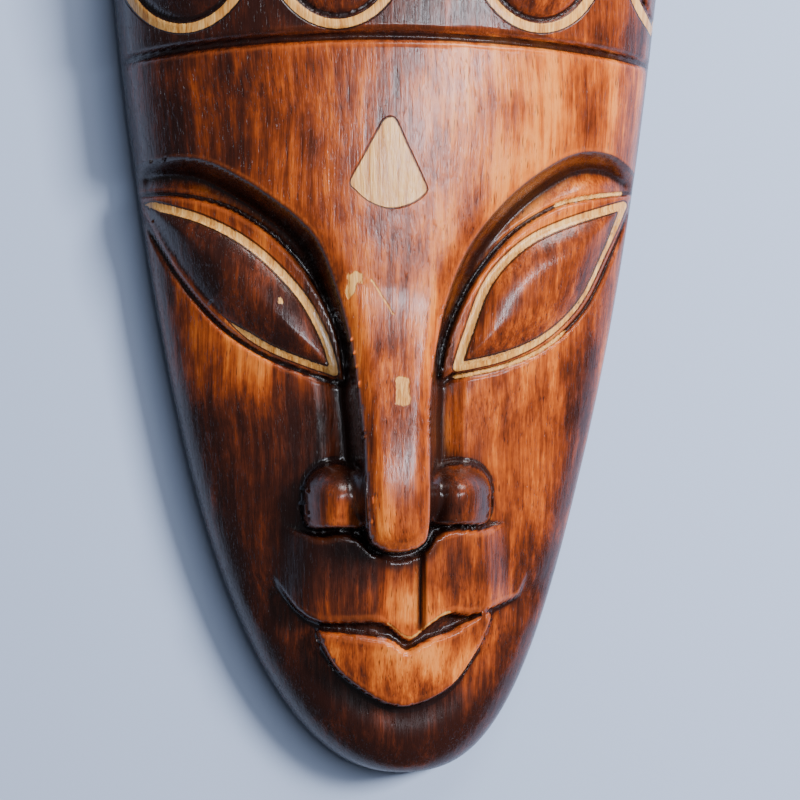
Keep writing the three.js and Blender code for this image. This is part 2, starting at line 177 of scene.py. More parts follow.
def depth_inside(outline, x, y):
    """How far each point lies inside a closed outline; negative outside it, and -NEAR far from it."""
    ring = np.array(outline, float)
    low, high = ring.min(axis=0) - NEAR, ring.max(axis=0) + NEAR
    close = (x > low[0]) & (x < high[0]) & (y > low[1]) & (y < high[1])
    depth = np.full(x.shape, -float(NEAR))
    px, py = x[close], y[close]
    inside = np.zeros(px.shape, bool)
    for (ax, ay), (bx, by) in zip(np.roll(ring, 1, axis=0), ring):
        if ay != by:
            crosses = (ay > py) != (by > py)
            inside ^= crosses & (px < ax + (py - ay) * (bx - ax) / (by - ay))
    nearest = distance_to(np.vstack([ring, ring[:1]]), px, py)
    depth[close] = np.where(inside, nearest, -nearest)
    return depth


# %% The outline and the swell of the block
def half_width(y, inset=0):
    """Half the mask's width at y, or that of an outline set in from it all round."""
    to_chin = y < WIDEST_Y
    end = np.where(to_chin, -1, 1) * (MASK_LENGTH / 2 - inset)
    power = np.where(to_chin, CHIN_CURVE[0], CROWN_CURVE[0])
    roundness = np.where(to_chin, CHIN_CURVE[1], CROWN_CURVE[1])
    share = np.clip((y - WIDEST_Y) / (end - WIDEST_Y), 0, 1)
    return (MASK_WIDTH / 2 - inset) * np.maximum(0, 1 - share**power) ** roundness


def middle(y):
    """The outline's middle, which leans to one side towards the chin."""
    reach = LEAN_SHARE * MASK_LENGTH
    return CHIN_LEAN * np.clip((reach - MASK_LENGTH / 2 - y) / reach, 0, 1) ** 2


def dome(x, y, rise):
    """The plain swell of the block before it is carved."""
    width = np.maximum(half_width(y), 0.01)
    off = (x - middle(y)) / width
    crest = rise * (2 * width / MASK_WIDTH) ** CREST_FALL
    return EDGE_THICKNESS + crest * np.sqrt(np.maximum(0, 1 - off * off))


# %% [markdown]
# The drawing on the face
#
# These are the carver's pencil lines: the brows that run down into the nose, the lids, the nostrils, the
# mouth and the loops of the crown. They are given by a few points each and drawn smooth between them.

# %% Brows, eyes and nostrils
BROW_RIGHT = [
    (1.4, -115), (7.5, -113.5), (10.6, -108), (10.9, -86), (11, -70), (13.2, -51.5), (17.4, -33.5),
    (24.8, -17.1), (38.6, -1), (56.2, 10.8), (70, 12.6), (81, 8), (94, 1),
]
BROW_LEFT = [
    (1.4, -115), (-4.5, -113.8), (-8, -108.5), (-9, -86.4), (-10.2, -72), (-12.7, -53.4), (-17.5, -33.5),
    (-24.6, -16.1), (-38.4, -3.3), (-56.4, 7.6), (-68, 10.3), (-80, 9.6), (-94, 6),
]
BROW_WALL = 5.4
BROW_WALL_STEEPNESS = 1.5
NARROWER_BY_EYES = 3.2
BY_EYES_FROM, BY_EYES_FULL, BY_EYES_TO = -28, -52, -68
NARROWER_AT_TIP = 3.4
AT_TIP = (-98, -109)
CHANNEL_DEPTH = 3.2
CHANNEL_STARTS = (-113, -100)
BROW_CHANNEL_WIDTH = 13
NOSE_CHANNEL_WIDTH = 14
BROW_TO_NOSE = (-20, -60)
NOSE_SWELLS = (-30, -105)
NOSE_ROUNDING = 2.2
NOSE_ROUNDING_REACH = 6
NOSE_ROUNDS = (10, -60)
EYES = [
    {
        "band": [(-79, -3.8), (-60.1, -9.6), (-44, -18.8), (-29.7, -33.1), (-21.7, -47.1), (-18.2, -58.5)],
        "under": [(-79, -3.8), (-66.9, -24.7), (-54, -40.2), (-40.6, -49.8), (-27, -55.6), (-18.2, -58.5)],
        "rim": [
            (-80.4, -2), (-66.2, -2.9), (-51.5, -7.2), (-37.5, -16.5), (-26.6, -28.8), (-18.7, -44.6),
            (-16, -60.3),
        ],
    },
    {
        "band": [(77.6, -3.4), (56.3, -10.4), (42.2, -17.7), (30.9, -29.8), (24.1, -47), (21, -56.8)],
        "under": [(77.6, -3.4), (70.5, -19.1), (61.9, -35.5), (50.1, -46.8), (36.1, -53.4), (21, -56.8)],
        "rim": [
            (80.5, -0.5), (63, -3.4), (52.5, -6.7), (39.1, -15.6), (27.3, -29.8), (19.2, -47), (16.5, -59.9),
        ],
    },
]
BAND_WIDTH = 2.6
EYE_RAISE = 1.2
EYE_BULGE = 4.2
EYE_BULGE_REACH = 12
EYE_WALL = 1.4
EYE_GROOVE = 2.8
EYE_GROOVE_DEPTH = 2.2
NOSTRILS = [(-17.8, -98.5, 9.3, 9.8), (21.6, -98, 9.6, 9.2)]
NOSTRIL_ROUND_ABOVE = 2.4
NOSTRIL_SQUARE_BELOW = 6
NOSTRIL_ARCH = 1.2
NOSTRIL_RAISE = 15
NOSTRIL_SIDE_FALL = 7
NOSTRIL_TOP_FALL = 8.5
NOSTRIL_FOOT_FALL = 1
NOSTRIL_WALL = 1.8

# %% Mouth and crown
UPPER_LIP = [
    (-38, -122), (-34, -128.9), (-29.1, -134.8), (-22.8, -138), (-13.4, -138.1), (-2.6, -138.4),
    (5.8, -143.9), (12.4, -138.9), (18.6, -135.4), (26.4, -136), (36.4, -132.4), (42, -130),
]
LOWER_LIP = [
    (-22.8, -142.4), (-7.4, -143.8), (-0.2, -145.4), (4.9, -148.5), (10.9, -145.7), (20.2, -142.1),
    (31.3, -136.4), (30, -143), (26.5, -149.5), (19.3, -159), (8.8, -164.6), (-0.5, -164.6),
    (-11.7, -158.1), (-18.3, -151.3),
]
MUZZLE_TOP = [
    (-46, -101), (-32.9, -107.5), (-23.4, -110.1), (-16.3, -109), (-10.9, -110.7), (-5.6, -115.2),
    (2.7, -117.5), (11, -114.6), (14.6, -109.8), (21.7, -107.6), (31.2, -107.8), (43.7, -105.1), (52, -102),
]
MUZZLE_LEFT, MUZZLE_RIGHT = -36, 39
MUZZLE_FLARE = 0.12
MUZZLE_RAISE = 6
MUZZLE_SOFT_SIDE = 13
MUZZLE_SOFT_TOP = 1.6
PHILTRUM_DEPTH = 3.2
PHILTRUM_LEFT = (-5.5, 0)
PHILTRUM_RIGHT = (11.2, 9.4)
MOUTH_X = 3
MOUTH_HALF_WIDTH = 31
MOUTH_SOFT_END = 6
MOUTH_FOOT = -150
MOUTH_SOFT_FOOT = 4
MOUTH_SINKS = (4, 12)
MOUTH_DEPTH = 0.8
LIP_RAISE = 5.5
LIP_WALL = 1.5
VALLEY_DEPTH = 2.4
VALLEY_WIDTH = 14
VALLEY_STARTS = (-121, -134)
CROWN_FROM = 47.2
CROWN_SAG = 5.4
CROWN_RAISE = 2.2
CROWN_GROOVE = 4.4
CROWN_GROOVE_DEPTH = 2.8
LOOP_BAND = 2.9
LOOP_GROOVE = 2.8
LOOP_GROOVE_DEPTH = 1.8
LOOP_BULGE = 1.6
LOOP_BULGE_REACH = 9
LOOP_NARROWING = 0.3
LOOP_ROWS = [
    (49, (-65.9, -18.2, 46, 97), 23, 29),
    (92, (-77, -40, 15, 71.5), 19, 24),
    (131, (-52, -12.5, 43.5), 15.5, 19),
]


# %% Turn the drawing into closed outlines
def nostril_outline(x, y, reach, half_height):
    """Round above, squarer below, and cut in a slight arch at its foot."""
    ring = []
    for angle in np.linspace(0, 2 * math.pi, 40, endpoint=False):
        up, side = math.sin(angle), math.cos(angle)
        power = 2 / (NOSTRIL_ROUND_ABOVE if up > 0 else NOSTRIL_SQUARE_BELOW)
        across = math.copysign(abs(side) ** power, side)
        arch = NOSTRIL_ARCH * (1 - across * across) if up < 0 else 0
        ring.append((x + reach * across, y + half_height * math.copysign(abs(up) ** power, up) + arch))
    return ring


def loop_outline(x, foot, reach, half_height):
    """An oval that narrows towards its top."""
    angles = np.linspace(0, 2 * math.pi, 48, endpoint=False)
    up = np.sin(angles)
    narrow = 1 - LOOP_NARROWING * np.maximum(0, up) ** 2
    return np.column_stack([x + reach * narrow * np.cos(angles), foot + half_height * (1 + up)])


far = [(400, 400), (-400, 400)]
forehead_outline = np.vstack([smooth_line(BROW_RIGHT), far, smooth_line(BROW_LEFT)[::-1]])
eye_outlines = []
for eye in EYES:
    below = smooth_line(eye["under"])[::-1]
    eye_outlines.append({
        "band": np.vstack([smooth_line(eye["band"]), below]),
        "lid": np.vstack([smooth_line(eye["rim"]), below]),
    })
upper_lip = smooth_line(UPPER_LIP)
lower_lip = smooth_line([*LOWER_LIP, LOWER_LIP[0]])
nostril_outlines = [nostril_outline(*nostril) for nostril in NOSTRILS]
muzzle_top = smooth_line(MUZZLE_TOP)
muzzle_outline = np.vstack([muzzle_top[::-1], upper_lip])
loop_outlines = [loop_outline(x, foot, w, h) for foot, centres, w, h in LOOP_ROWS for x in centres]
print("outlines drawn:", 4 + 2 * len(eye_outlines) + len(loop_outlines))


# %% [markdown]
# The relief
#
# The forehead and the nose are one high surface, and the face round the eyes and the mouth is sunk below it.
# Each feature is laid over that in turn, as a carver works: first the big step along the brow, then the
# raised lids and nostrils, the mouth, and last the cuts of the crown.

# %% Forehead, nose and sunken face
def brow_and_face(x, y, in_forehead):
    """The height of the face, with the channel along brow and nose, and that of the forehead and nose."""
    width = mix(BROW_CHANNEL_WIDTH, NOSE_CHANNEL_WIDTH, smooth(*BROW_TO_NOSE, y))
    channel = CHANNEL_DEPTH * gouge(-in_forehead, BROW_WALL, width) * smooth(*CHANNEL_STARTS, y)
    face = dome(x, y, FACE_RISE) - channel
    rounding = np.clip(1 - in_forehead / NOSE_ROUNDING_REACH, 0, 1) ** 2 * smooth(*NOSE_ROUNDS, y)
    forehead = dome(x, y, FOREHEAD_RISE) + NOSE_RISE * smooth(*NOSE_SWELLS, y) - NOSE_ROUNDING * rounding
    return face, forehead


def brow_wall(y, in_forehead):
    """The share of the forehead's height left on the wall outside its edge."""
    by_eyes = smooth(BY_EYES_FROM, BY_EYES_FULL, y) * smooth(BY_EYES_TO, BY_EYES_FULL, y)
    narrowed = NARROWER_BY_EYES * by_eyes + NARROWER_AT_TIP * smooth(*AT_TIP, y)
    return (1 - np.clip(-in_forehead / (BROW_WALL - narrowed), 0, 1)) ** BROW_WALL_STEEPNESS


# %% Lids and nostrils
def add_eyes(height, plain, x, y):
    for outline in eye_outlines:
        in_band = depth_inside(outline["band"], x, y)
        in_lid = np.maximum(depth_inside(outline["lid"], x, y), in_band + BAND_WIDTH / 2)
        roundness = 1 - np.clip(in_band / EYE_BULGE_REACH, 0, 1)
        top = plain + EYE_RAISE + EYE_BULGE * (1 - roundness * roundness)
        cut = height - EYE_GROOVE_DEPTH * vee_cut(-in_lid, EYE_GROOVE)
        height = mix(cut, top, smooth(-EYE_WALL, 0, in_lid))
    return height


def add_nostrils(height, plain, x, y):
    for (cx, cy, reach, half_height), outline in zip(NOSTRILS, nostril_outlines):
        inside = depth_inside(outline, x, y)
        side = (x - cx) / reach
        up = (y - cy) / half_height
        end_fall = np.where(up > 0, NOSTRIL_TOP_FALL, NOSTRIL_FOOT_FALL)
        fall = NOSTRIL_SIDE_FALL * side * side + end_fall * up * up
        top = np.maximum(height, plain + NOSTRIL_RAISE - fall)
        height = mix(height, top, smooth(-NOSTRIL_WALL, 0, inside))
    return height


# %% Mouth
def add_mouth(height, plain, x, y):
    down = np.interp(x, muzzle_top[:, 0], muzzle_top[:, 1]) - y
    in_lip = depth_inside(lower_lip, x, y)
    outside = -np.maximum(depth_inside(muzzle_outline, x, y), in_lip)
    made = height - VALLEY_DEPTH * gouge(outside, LIP_WALL, VALLEY_WIDTH) * smooth(*VALLEY_STARTS, y)
    in_mouth = smooth(0, MOUTH_SOFT_END, MOUTH_HALF_WIDTH - np.abs(x - MOUTH_X))
    in_mouth = in_mouth * smooth(MOUTH_FOOT, MOUTH_FOOT + MOUTH_SOFT_FOOT, y)
    made = mix(made, plain - MOUTH_DEPTH, in_mouth * smooth(*MOUTH_SINKS, down))
    from_side = np.minimum(x - MUZZLE_LEFT, MUZZLE_RIGHT - x) + MUZZLE_FLARE * down
    philtrum = PHILTRUM_DEPTH * smooth(*PHILTRUM_LEFT, x) * smooth(*PHILTRUM_RIGHT, x)
    field = plain + MUZZLE_RAISE * smooth(0, MUZZLE_SOFT_SIDE, from_side) - philtrum
    above_lip = smooth(-LIP_WALL, 0, y - np.interp(x, upper_lip[:, 0], upper_lip[:, 1]))
    above_lip = above_lip * smooth(-1, 2, from_side)
    made = mix(made, np.maximum(plain, field), above_lip * smooth(0, MUZZLE_SOFT_TOP, down))
    made = mix(made, plain + LIP_RAISE, smooth(-LIP_WALL, 0, in_lip))
    return np.where(down < -MUZZLE_SOFT_TOP, height, made)


# %% Crown
def add_crown(height, x, y):
    up = y - CROWN_FROM + CROWN_SAG * (2 * x / MASK_WIDTH) ** 2
    groove = CROWN_GROOVE_DEPTH * vee_cut(up + CROWN_GROOVE / 2, CROWN_GROOVE)
    made = height + CROWN_RAISE * smooth(0, CROWN_GROOVE / 2, up) - groove
    for outline in loop_outlines:
        inside = depth_inside(outline, x, y) - LOOP_BAND
        bulge = LOOP_BULGE * smooth(LOOP_GROOVE, LOOP_BULGE_REACH, inside)
        made = made + bulge - LOOP_GROOVE_DEPTH * vee_cut(inside, LOOP_GROOVE)
    return np.where(up < -CROWN_GROOVE, height, made)


# %% The whole carved height
def carved_height(x, y):
    in_forehead = depth_inside(forehead_outline, x, y)
    plain = dome(x, y, FACE_RISE)
    face, forehead = brow_and_face(x, y, in_forehead)
    face = add_eyes(face, plain, x, y)
    face = add_mouth(face, plain, x, y)
    face = add_nostrils(face, plain, x, y)
    carved = add_crown(mix(face, forehead, brow_wall(y, in_forehead)), x, y)
    edge = np.clip((plain - EDGE_THICKNESS) / EDGE_THICKNESS, 0, 1)
    return mix(plain, carved, edge)


def hollow_height(x, y):
    width = np.maximum(half_width(y, RIM_WIDTH), 0.01)
    crest = FACE_RISE * (2 * half_width(y) / MASK_WIDTH) ** CREST_FALL + EDGE_THICKNESS - WALL_THICKNESS
    off = (x - middle(y)) / width
    end = 2 * width / (MASK_WIDTH - 2 * RIM_WIDTH)
    return crest * np.maximum(0, 1 - off * off) ** HOLLOW_ROUNDNESS * np.minimum(1, HOLLOW_END_FILL * end)


# %% [markdown]
# The block as a mesh
#
# A grid of quads is laid over the outline and lifted to the carved height. Vertices that fall near a carved
# edge are slid onto it, so that a slanting edge stays a clean line and isn't stepped. The grid's border
# is extruded down into the side, and a flat fill joins it to a second, coarser grid under it: the hollow.

# %% Lay a grid over the outline
HALF_CELL = 0.48
PROBE_STEP = 0.05
STEADY_WITHIN = 0.1


def square_to_outline(u, v, inset=0):
    """Where a point of a square, from -1 to 1 each way, falls inside the mask's outline."""
    across = u * np.sqrt(1 - v * v / 2)
    up = v * np.sqrt(1 - u * u / 2)
    y = up * (MASK_LENGTH / 2 - inset)
    reach = np.sqrt(np.maximum(1e-9, 1 - up * up))
    return middle(y) + np.clip(across / reach, -1, 1) * half_width(y, inset), y


def slide_to_edges(x, y, free, lines):
    """Slides each free vertex that lies within half a cell of a line onto it."""
    for outline, offset in lines:
        step = PROBE_STEP
        depth = depth_inside(outline, x, y) - offset
        slope_x = (depth_inside(outline, x + step, y) - depth_inside(outline, x - step, y)) / (2 * step)
        slope_y = (depth_inside(outline, x, y + step) - depth_inside(outline, x, y - step)) / (2 * step)
        steady = np.abs(np.hypot(slope_x, slope_y) - 1) < STEADY_WITHIN
        near = free & steady & (np.abs(depth) < HALF_CELL)
        x = np.where(near, x - depth * slope_x, x)
        y = np.where(near, y - depth * slope_y, y)
        free = free & ~near
    return x, y


EDGE_LINES = [(forehead_outline, 0), (lower_lip, 0), (lower_lip, -LIP_WALL)]
EDGE_LINES += [(outline["lid"], 0) for outline in eye_outlines]
EDGE_LINES += [(outline, offset) for outline in nostril_outlines for offset in (0, -NOSTRIL_WALL)]
EDGE_LINES += [(outline, LOOP_BAND + LOOP_GROOVE / 2) for outline in loop_outlines]
EDGE_LINES += [(outline, LOOP_BAND) for outline in loop_outlines]
FRONT_CELLS = (214, 360)
HOLLOW_CELLS = (56, 90)


# %% Carve the front grid
def read(bm):
    return np.array([v.co for v in bm.verts])


def write(bm, x, y, z):
    for v, co in zip(bm.verts, np.column_stack([x, y, z]) * MM):
        v.co = co


bm = bmesh.new()
bmesh.ops.create_grid(bm, x_segments=FRONT_CELLS[0], y_segments=FRONT_CELLS[1], size=1)
flat = read(bm)
x, y = square_to_outline(flat[:, 0], flat[:, 1])
on_border = np.array([v.is_boundary for v in bm.verts])
x, y = slide_to_edges(x, y, ~on_border, EDGE_LINES)
write(bm, x, y, carved_height(x, y))
print("front:", len(bm.verts), "vertices")

# %% Extrude the side and fold it under to the rim
SIDE_STEPS = [(6.5, 0), (4, 0), (1.2, 0), (EDGE_BEVEL, EDGE_BEVEL), (0, RIM_INSET - EDGE_BEVEL)]
border = [e for e in bm.edges if e.is_boundary]
for level, inward in SIDE_STEPS:
    made = bmesh.ops.extrude_edge_only(bm, edges=border)["geom"]
    border = [e for e in made if isinstance(e, bmesh.types.BMEdge)]
    for v in {v for e in border for v in e.verts}:
        toward = Vector((-v.co.x, -v.co.y, 0)).normalized() * inward * MM
        v.co = Vector((v.co.x, v.co.y, level * MM)) + toward
rim_outside = border

# %% Add the hollow and fill the rim
hollow = bmesh.new()
bmesh.ops.create_grid(hollow, x_segments=HOLLOW_CELLS[0], y_segments=HOLLOW_CELLS[1], size=1)
flat = read(hollow)
hx, hy = square_to_outline(flat[:, 0], flat[:, 1], RIM_WIDTH)
write(hollow, hx, hy, hollow_height(hx, hy))
hollow_mesh = bpy.data.meshes.new("hollow")
hollow.to_mesh(hollow_mesh)
hollow.free()
already = set(bm.edges)
bm.from_mesh(hollow_mesh)
bpy.data.meshes.remove(hollow_mesh)
rim_inside = [e for e in bm.edges if e not in already and e.is_boundary]
hollow_from = len(bm.verts) - len(hx)
bmesh.ops.triangle_fill(bm, edges=rim_outside + rim_inside, use_beauty=True, normal=(0, 0, -1))
bmesh.ops.recalc_face_normals(bm, faces=bm.faces)
print("open edges left:", sum(e.is_boundary for e in bm.edges), "faces:", len(bm.faces))

# %% [markdown]
# What the finish needs to know
#
# The stain sits dark in every recess and is rubbed thin on the ridges, and pale wood shows along the scraped
# lines. The dark of the recesses is partly painted shade and the light of the ridges partly a painted
# highlight, and some places get painted shade, others painted light. The mesh carries this to the material
# as numbers on its vertices: how far each lies below the smoothed surface, how far it is from each scraped
# line, and where the stain is drawn darker and where lighter. A distance stays straight between vertices, so
# the material can draw a line much sharper than the mesh's own cells.

# %% Pale marks and chips
FAN = [
    (-3.4, 20.6), (-1.2, 21.6), (0.6, 20), (3.4, 13.8), (7.3, 5.6), (9.9, -0.2), (9.5, -2), (6.7, -4.4),
    (2.4, -6.2), (-2.7, -6.6), (-8.3, -4.4), (-12.2, -1), (-13.9, 1.4), (-10.7, 7.4), (-7, 14.2),
    (-3.4, 20.6),
]
CHIPS = [
    [
        (-15.4, -26.5), (-13.6, -27.8), (-12.2, -26.2), (-10.2, -27.5), (-9.8, -30.8), (-11.6, -30.2),
        (-12.6, -33.2), (-14.2, -36), (-15.6, -33.5), (-14.6, -30), (-15.4, -26.5),
    ],
    [
        (-0.2, -60.2), (2.2, -59.8), (4.9, -60.6), (4.6, -64.5), (5.2, -68.6), (2.6, -69.2),
        (0, -68.6), (0.6, -64),
    ],
    [(-36.4, -34.6), (-35.2, -34.4), (-34.6, -36), (-35.2, -37), (-36.2, -36.4)],
]
SCRATCH_THROUGH = (-7.9, -28.1)
SCRATCH_SLANT = (0.85, 0.53)
FINE_PASSES = 8
BROAD_PASSES = 90


# %% Recess, from a smoothed copy of the grid of heights
def soften(grid, times):
    for _ in range(times):
        wide = np.pad(grid, 1, mode="edge")
        grid = (wide[:-2, 1:-1] + wide[2:, 1:-1] + wide[1:-1, :-2] + wide[1:-1, 2:] + 4 * grid) / 8
    return grid


z = carved_height(x, y)
rows = FRONT_CELLS[1] + 1
grid = z.reshape(rows, -1)
fine_recess = (soften(grid, FINE_PASSES) - grid).ravel()
broad_recess = (soften(grid, BROAD_PASSES) - grid).ravel()
print("deepest recess:", round(float(broad_recess.max()), 1), "mm")

# %% Distances from the scraped lines
eye_line = np.full(x.shape, -float(NEAR))
lid_edge = np.full(x.shape, -float(NEAR))
lower = np.zeros(x.shape)
for eye, outline in zip(EYES, eye_outlines):
    in_band = depth_inside(outline["band"], x, y)
    eye_line = np.maximum(eye_line, in_band)
    nearer_under = distance_to(smooth_line(eye["band"]), x, y) - distance_to(smooth_line(eye["under"]), x, y)
    lower = np.maximum(lower, smooth(-1.5, 1.5, nearer_under) * (in_band > 1 - NEAR))
    in_lid = np.maximum(depth_inside(outline["lid"], x, y), in_band + BAND_WIDTH / 2)
    lid_edge = np.maximum(lid_edge, in_lid)
thin_left = mix(0.95, -0.8, smooth(-44, -58, x))
thin_right = mix(1.35, 0.6, smooth(30, 66, x)) + 0.5 * smooth(70, 77, x)
band_half = mix(BAND_WIDTH / 2, np.where(x < 0, thin_left, thin_right), lower)
loop_line = np.max([depth_inside(outline, x, y) for outline in loop_outlines], axis=0)
loop_line -= 6 * (smooth(18, 11, z) + smooth(34, 22, z) * smooth(70, 90, y))
fan_mark = depth_inside(smooth_line(FAN, 3), x, y)
chip = np.max([depth_inside(outline, x, y) for outline in CHIPS], axis=0)
brow_line = depth_inside(forehead_outline, x, y)
lip_line = y - np.interp(x, upper_lip[:, 0], upper_lip[:, 1])
lip_worn = smooth(-5, 0, x) * smooth(23, 18, x) * (np.abs(lip_line) < 8)
strip = smooth(17, 21, x) * smooth(61, 56, x) * smooth(-37, -41, y)
strip = np.maximum(strip, smooth(50, 54, x) * smooth(80, 77, x) * smooth(-8, -6, y))
scratch_line = (x - SCRATCH_THROUGH[0]) * SCRATCH_SLANT[0] + (y - SCRATCH_THROUGH[1]) * SCRATCH_SLANT[1]
scratched = smooth(-27, -29, y) * smooth(-43, -40, y) * (np.abs(scratch_line) < 6)

# %% Where the stain is drawn darker, partly as painted shade, and where lighter, mostly as painted light
on_muzzle = smooth(-112, -116, y) * smooth(-141, -137, y)
in_lids = [smooth(-1, 1, depth_inside(outline["band"], x, y)) for outline in eye_outlines]
on_nostrils = [smooth(-1.5, 0.5, depth_inside(outline, x, y)) for outline in nostril_outlines]
chin = smooth(-148, -172, y)
left_cheek = smooth(0, -40, x) * smooth(-58, -80, y)
left_temple = smooth(-20, -60, x) * smooth(0, 10, y)
muzzle_left = on_muzzle * smooth(-32, -24, x) * smooth(-1, -6, x)
muzzle_right = on_muzzle * smooth(-3, 0, x) * smooth(10, 8, x)
by_outline = smooth(0.7, 0.98, np.abs(x) / np.maximum(half_width(y), 1))
on_crown = smooth(0, 2, y - CROWN_FROM + CROWN_SAG * (2 * x / MASK_WIDTH) ** 2)
under_nose = smooth(-105, -120, y) * smooth(-132, -122, y)
forehead_right = smooth(-60, -10, y) * smooth(-6, 20, x)
on_lower_lip = smooth(-140, -150, y) * (depth_inside(lower_lip, x, y) > -1)
# Painted shade: the stain is drawn darker on the left cheek and temple, on the lids (the left one more), on
# the upper part of the left nostril, on the muzzle left of the philtrum and under the nose. It is drawn darker
# too on the chin, the crown, the right nostril and along the outline.
DARKER_STAIN_AND_PAINTED_SHADE = [
    (0.9, chin), (0.9, left_cheek), (0.75, in_lids[0]), (0.45, in_lids[1]), (0.4, left_temple),
    (0.25, muzzle_left), (0.9, on_nostrils[1]), (0.5, on_nostrils[0] * smooth(-97, -92, y)),
    (0.5, by_outline), (0.75, on_crown), (0.35, under_nose),
]
# Painted light: the stain is drawn lighter on the right of the forehead and nose, on the floor of the philtrum
# and on the lower half of the left nostril, where the light falls. On the lower lip it is partly wear and
# partly painted light.
LIGHTER_STAIN_AND_PAINTED_LIGHT = [
    (1, forehead_right), (1, on_lower_lip), (0.9, muzzle_right), (1, on_nostrils[0] * smooth(-96, -101, y)),
]
darker_stain_and_painted_shade = sum(share * where for share, where in DARKER_STAIN_AND_PAINTED_SHADE)
lighter_stain_and_painted_light = sum(share * where for share, where in LIGHTER_STAIN_AND_PAINTED_LIGHT)
FACE_NUMBERS = {
    "fine_recess": fine_recess,
    "broad_recess": broad_recess,
    "eye_line": eye_line,
    "band_half": band_half,
    "lid_edge": lid_edge,
    "loop_line": loop_line,
    "fan_mark": fan_mark,
    "chip": chip,
    "strip": strip,
    "brow_line": brow_line,
    "lip_line": lip_line,
    "lip_worn": lip_worn,
    "scratch_line": scratch_line,
    "scratched": scratched,
    "darker_stain_and_painted_shade": np.clip(darker_stain_and_painted_shade, 0, 1),
    "lighter_stain_and_painted_light": np.clip(lighter_stain_and_painted_light, 0, 1),
}

# %% [markdown]
# Stained and varnished wood
#
# The wood is a pale, straight-grained tropical hardwood with open pores. It was stained reddish brown, rubbed
# with a darker wax in the cuts, scraped bare along the lines and varnished, so the eye sees streaks and
# blotches under one broken gloss. The finish deepens the dark of the cuts with painted shade, and lays
# painted shade and painted light on some places. All patterns read Object coordinates, turned to
# millimetres, with the grain along the mask's length.


# %% Small helpers for materials
def srgb(code):
    """A screen colour, such as #6b2a12, as the linear values that a shader takes."""
    parts = [int(code[k : k + 2], 16) / 255 for k in (1, 3, 5)]
    return [*(c / 12.92 if c <= 0.04045 else ((c + 0.055) / 1.055) ** 2.4 for c in parts), 1]


def add(tree, kind, inputs=None, **settings):
    """Adds a node with its settings, and sets or links its sockets."""
    made = tree.nodes.new("ShaderNode" + kind)
    for name, value in settings.items():
        setattr(made, name, value)
    for socket, value in (inputs or {}).items():
        if isinstance(value, bpy.types.NodeSocket):
            tree.links.new(value, made.inputs[socket])
        else:
            made.inputs[socket].default_value = value
    return made


# %% Start the mask's finish
wood = bpy.data.materials.new("stained_varnished_hardwood")
wood.use_nodes = True
tree = wood.node_tree
tree.nodes.clear()
place = add(tree, "TexCoord").outputs["Object"]
MILLIMETRES = (1000, 1000, 1000)
in_mm = add(tree, "Mapping", {"Vector": place, "Scale": MILLIMETRES}).outputs["Vector"]


def ramp(value, stops):
    """Colours between given places of a value."""
    made = add(tree, "ValToRGB", {"Fac": value})
    while len(made.color_ramp.elements) < len(stops):
        made.color_ramp.elements.new(0.5)
    for element, (at, colour) in zip(made.color_ramp.elements, stops):
        element.position = at
        element.color = srgb(colour)
    return made.outputs["Color"]


def span(value, low, high, to_low=0.0, to_high=1.0):
    """Maps a value's span to another, smoothly and clamped."""
    inputs = {"Value": value, "From Min": low, "From Max": high, "To Min": to_low, "To Max": to_high}
    return add(tree, "MapRange", inputs, interpolation_type="SMOOTHSTEP").outputs["Result"]


def maths(operation, a, b=0.0):
    return add(tree, "Math", {0: a, 1: b}, operation=operation).outputs[0]


def over(below, above, share):
    """Lays one colour over another."""
    return add(tree, "Mix", {"Factor": share, 6: below, 7: above}, data_type="RGBA").outputs[2]


def number(name):
    """One of the numbers that the mesh carries on its vertices."""
    return add(tree, "Attribute", attribute_name=name).outputs["Fac"]


def weighted(parts):
    """The sum of some values, each times its weight."""
    total = None
    for value, weight in parts:
        part = maths("MULTIPLY", value, weight)
        total = part if total is None else maths("ADD", total, part)
    return total


def band(half, value, centre=0.0):
    """Above 0 where a value lies within half a band's width of its centre, and below 0 outside."""
    return maths("SUBTRACT", half, maths("ABSOLUTE", maths("SUBTRACT", value, centre)))


def only_where(made, name):
    """Takes a band away wherever the vertices' number of that name is 0."""
    return maths("SUBTRACT", made, maths("MULTIPLY", maths("SUBTRACT", 1.0, number(name)), 3.0))


def grain(across, along, detail=3, rough=0.55, shift=0.0):
    """Noise drawn out along the grain; across and along are its sizes in millimetres."""
    scale = (1 / across, 1 / along, 1 / across)
    inputs = {"Vector": bent, "Scale": scale, "Location": (shift, shift, shift)}
    stretched = add(tree, "Mapping", inputs).outputs["Vector"]
    inputs = {"Vector": stretched, "Scale": 1.0, "Detail": detail, "Roughness": rough}
    return add(tree, "TexNoise", inputs).outputs["Fac"]


# %% Grain, pores and blotches
slow = add(tree, "TexNoise", {"Vector": in_mm, "Scale": 0.012, "Detail": 2}).outputs["Color"]
slow_bend = add(tree, "VectorMath", {0: slow, 1: (9, 0, 9)}, operation="MULTIPLY").outputs[0]
bent = add(tree, "VectorMath", {0: in_mm, 1: slow_bend}).outputs[0]
broad_streaks = grain(9, 130, 4, 0.6)
streaks = grain(1.9, 45, 4, 0.6, 11)
fibres = grain(0.45, 9, 3, 0.6, 23)
pores = span(grain(0.38, 5.5, 1, 0.5, 37), 0.64, 0.72)
blotches = grain(17, 30, 5, 0.62, 53)
patches = grain(6, 11, 4, 0.65, 61)

